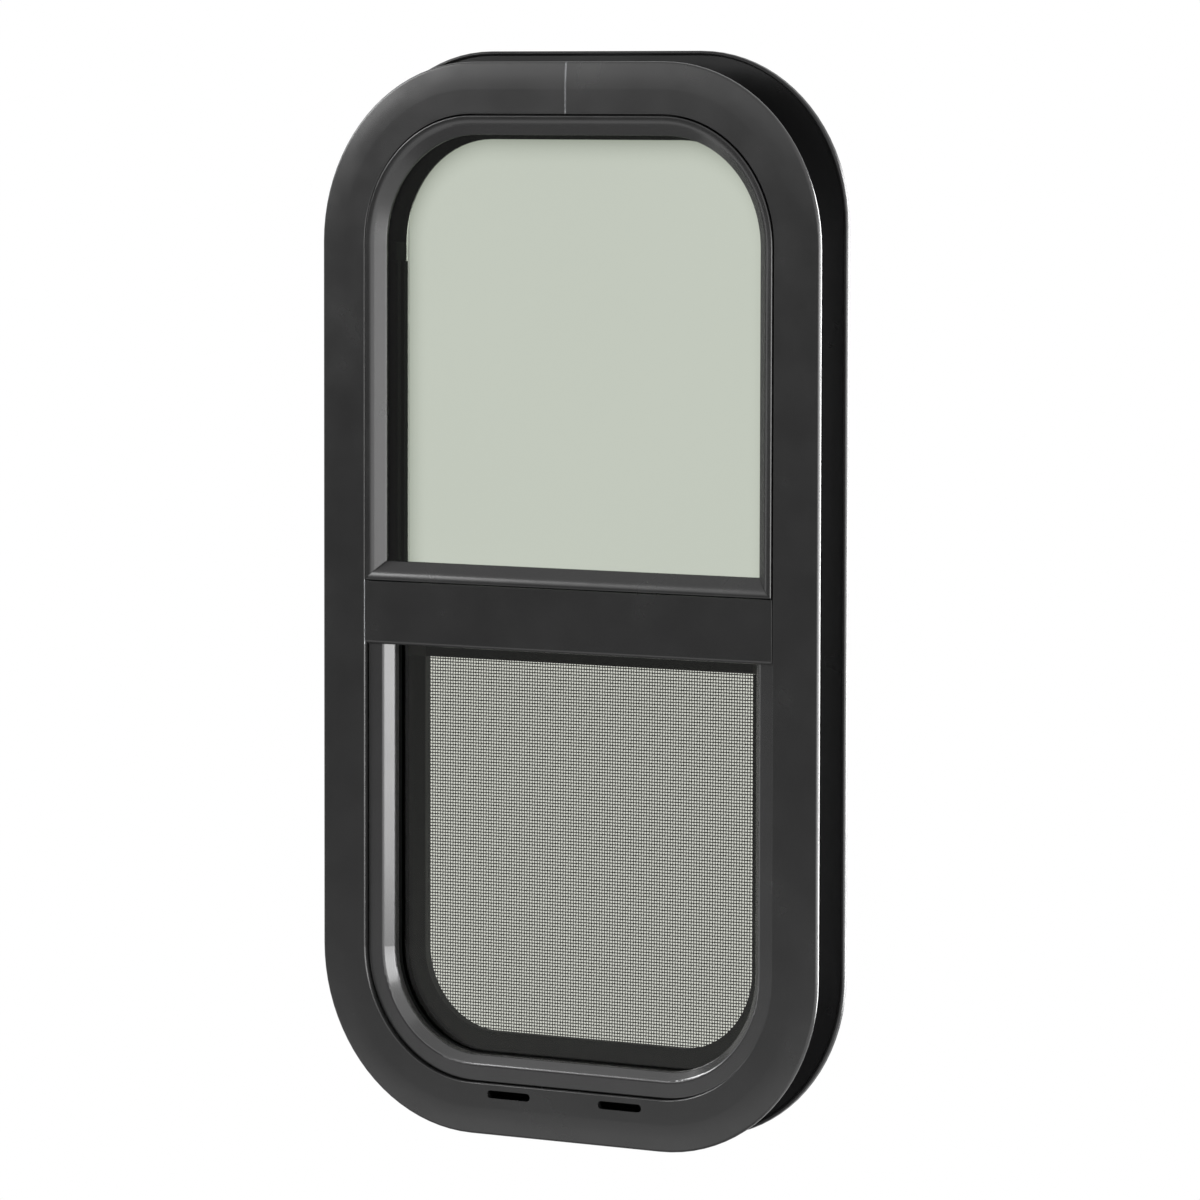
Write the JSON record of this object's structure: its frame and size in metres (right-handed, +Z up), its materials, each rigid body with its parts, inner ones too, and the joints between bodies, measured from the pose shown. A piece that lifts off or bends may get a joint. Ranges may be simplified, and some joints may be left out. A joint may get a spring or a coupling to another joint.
{
  "type": "vertical sliding caravan window with round corners",
  "caption": "Black aluminium caravan window with round corners: fixed upper pane, sliding lower pane, insect screen and inner clamp ring.",
  "frame": {"origin": "middle of the flange's back face, which lies on the wall's outer skin", "axes": "+Z up, +Y into the wall towards the room, +X along the wall, to the right seen from outside"},
  "size_m": [0.435, 0.0507, 0.804],
  "materials": {
    "frame_coating": "satin",
    "ring_coating": "satin",
    "bare_aluminium": "mill",
    "tinted_glass": "clear",
    "black_rubber": "matte",
    "black_plastic": "matte",
    "screen_coating": "satin",
    "screen_fabric": "matte"
  },
  "bodies": {
    "root": {"outer_frame": "frame_coating", "frame_joint_plate": "bare_aluminium", "clamp_ring": "ring_coating", "ring_joint_plate": "bare_aluminium", "upper_glass": "tinted_glass", "upper_bead": "frame_coating", "glazing_tape": "black_rubber", "meeting_rail": "frame_coating", "rail_bead": "frame_coating", "rail_glazing_strip": "black_rubber", "setting_block_left": "black_rubber", "setting_block_right": "black_rubber", "rail_weatherstrip": "black_rubber", "lower_insert": "frame_coating", "run_channel": "black_rubber", "sash_glass": "tinted_glass", "sash_top_rail": "frame_coating", "sash_stop_left": "black_rubber", "sash_stop_right": "black_rubber", "sash_latch": "black_plastic", "latch_lever": "black_plastic", "screen_frame": "screen_coating", "screen_top_bar": "screen_coating", "screen_corner_left": "black_plastic", "screen_corner_right": "black_plastic", "screen_spline": "black_rubber", "screen_mesh": "screen_fabric", "screen_clip_low_left": "black_plastic", "screen_clip_low_right": "black_plastic", "screen_clip_high_left": "black_plastic", "screen_clip_high_right": "black_plastic", "screen_pull_left": "black_plastic", "screen_pull_right": "black_plastic"}
  },
  "joints": []
}
